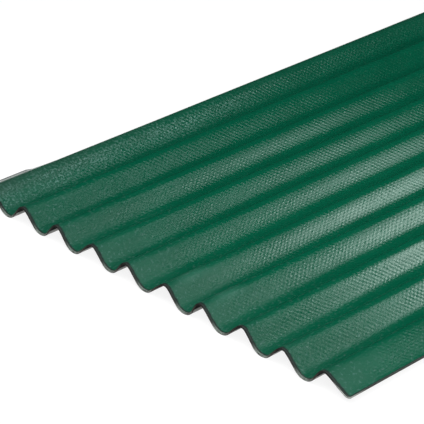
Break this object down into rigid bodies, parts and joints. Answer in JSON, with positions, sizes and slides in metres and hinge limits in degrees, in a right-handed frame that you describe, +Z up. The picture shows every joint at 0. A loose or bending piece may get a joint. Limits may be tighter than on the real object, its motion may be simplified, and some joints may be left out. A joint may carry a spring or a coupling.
{
  "type": "corrugated bitumen sheet",
  "caption": "Rectangular roofing sheet of coated bitumen-fibre board with parallel rounded corrugations, its two outer flanks opened out to straight long edges.",
  "frame": {"origin": "centre of the underside, in the plane of the trough bottoms that the sheet rests on", "axes": "+Y along the corrugations, +X across them, +Z up and out of the coated face"},
  "size_m": [0.95, 2, 0.036],
  "materials": {
    "coated_board": "satin"
  },
  "bodies": {
    "root": {"corrugated_sheet": "coated_board"}
  },
  "joints": []
}
